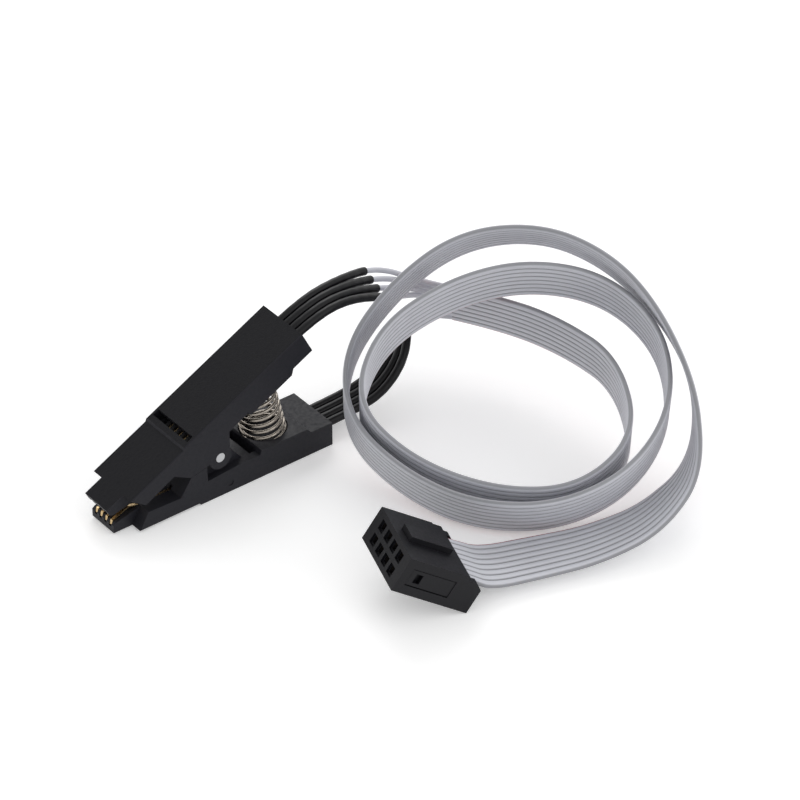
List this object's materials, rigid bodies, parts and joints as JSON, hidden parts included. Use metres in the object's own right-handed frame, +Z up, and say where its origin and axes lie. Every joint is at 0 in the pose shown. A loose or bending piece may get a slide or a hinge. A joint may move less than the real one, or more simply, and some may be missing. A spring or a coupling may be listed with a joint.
{
  "type": "ic test clip",
  "caption": "Sprung two-jaw test clip for a small outline chip, with black sleeved leads, a looped grey ribbon and a two-row socket.",
  "frame": {"origin": "on the surface the clip lies on, under the middle of the clip's own box, leads, ribbon and socket left out", "axes": "+X from the nose to the rear end, +Y across the jaws, +Z up from the lower jaw's outer face"},
  "size_m": [0.084, 0.0611, 0.0296],
  "materials": {
    "jaw_plastic": "black glass-filled moulding, fine grain",
    "pin_steel": "bright turned steel",
    "spring_steel": "nickel-plated spring wire",
    "gold_plate": "gold-plated spring strip",
    "lead_insulation": "satin grey insulation",
    "shrink_sleeve": "satin black shrink sleeve",
    "ribbon_pvc": "satin grey ribbon, one red edge",
    "socket_plastic": "black moulding",
    "socket_gold": "gold-plated contacts"
  },
  "bodies": {
    "lower_body": {"lower_jaw": "jaw_plastic", "pivot_pin": "pin_steel", "spring": "spring_steel", "contact_lower_1": "gold_plate", "contact_lower_2": "gold_plate", "contact_lower_3": "gold_plate", "contact_lower_4": "gold_plate", "lead_lower_1": "lead_insulation", "lead_lower_2": "lead_insulation", "lead_lower_3": "lead_insulation", "lead_lower_4": "lead_insulation", "lead_upper_1": "lead_insulation", "lead_upper_2": "lead_insulation", "lead_upper_3": "lead_insulation", "lead_upper_4": "lead_insulation", "sleeve_lower_1": "shrink_sleeve", "sleeve_lower_2": "shrink_sleeve", "sleeve_lower_3": "shrink_sleeve", "sleeve_lower_4": "shrink_sleeve", "sleeve_upper_1": "shrink_sleeve", "sleeve_upper_2": "shrink_sleeve", "sleeve_upper_3": "shrink_sleeve", "sleeve_upper_4": "shrink_sleeve", "ribbon_cable": "ribbon_pvc", "socket_housing": "socket_plastic", "socket_cover": "socket_plastic", "strain_relief": "socket_plastic", "socket_contact_1": "socket_gold", "socket_contact_2": "socket_gold", "socket_contact_3": "socket_gold", "socket_contact_4": "socket_gold", "socket_contact_5": "socket_gold", "socket_contact_6": "socket_gold", "socket_contact_7": "socket_gold", "socket_contact_8": "socket_gold"},
    "upper_body": {"upper_jaw": "jaw_plastic", "contact_upper_1": "gold_plate", "contact_upper_2": "gold_plate", "contact_upper_3": "gold_plate", "contact_upper_4": "gold_plate"}
  },
  "joints": [
    {"name": "jaw_pivot", "type": "hinge", "parent": "lower_body", "child": "upper_body", "pos_m": [-0.0008, 0, 0.00737], "axis": [0, 1, 0], "range_deg": [0, 20], "stiffness_Nm_per_rad": 0.02, "springref_deg": -68.75, "deforming": ["spring", "lead_upper_1", "lead_upper_2", "lead_upper_3", "lead_upper_4", "sleeve_upper_1", "sleeve_upper_2", "sleeve_upper_3", "sleeve_upper_4"]}
  ]
}
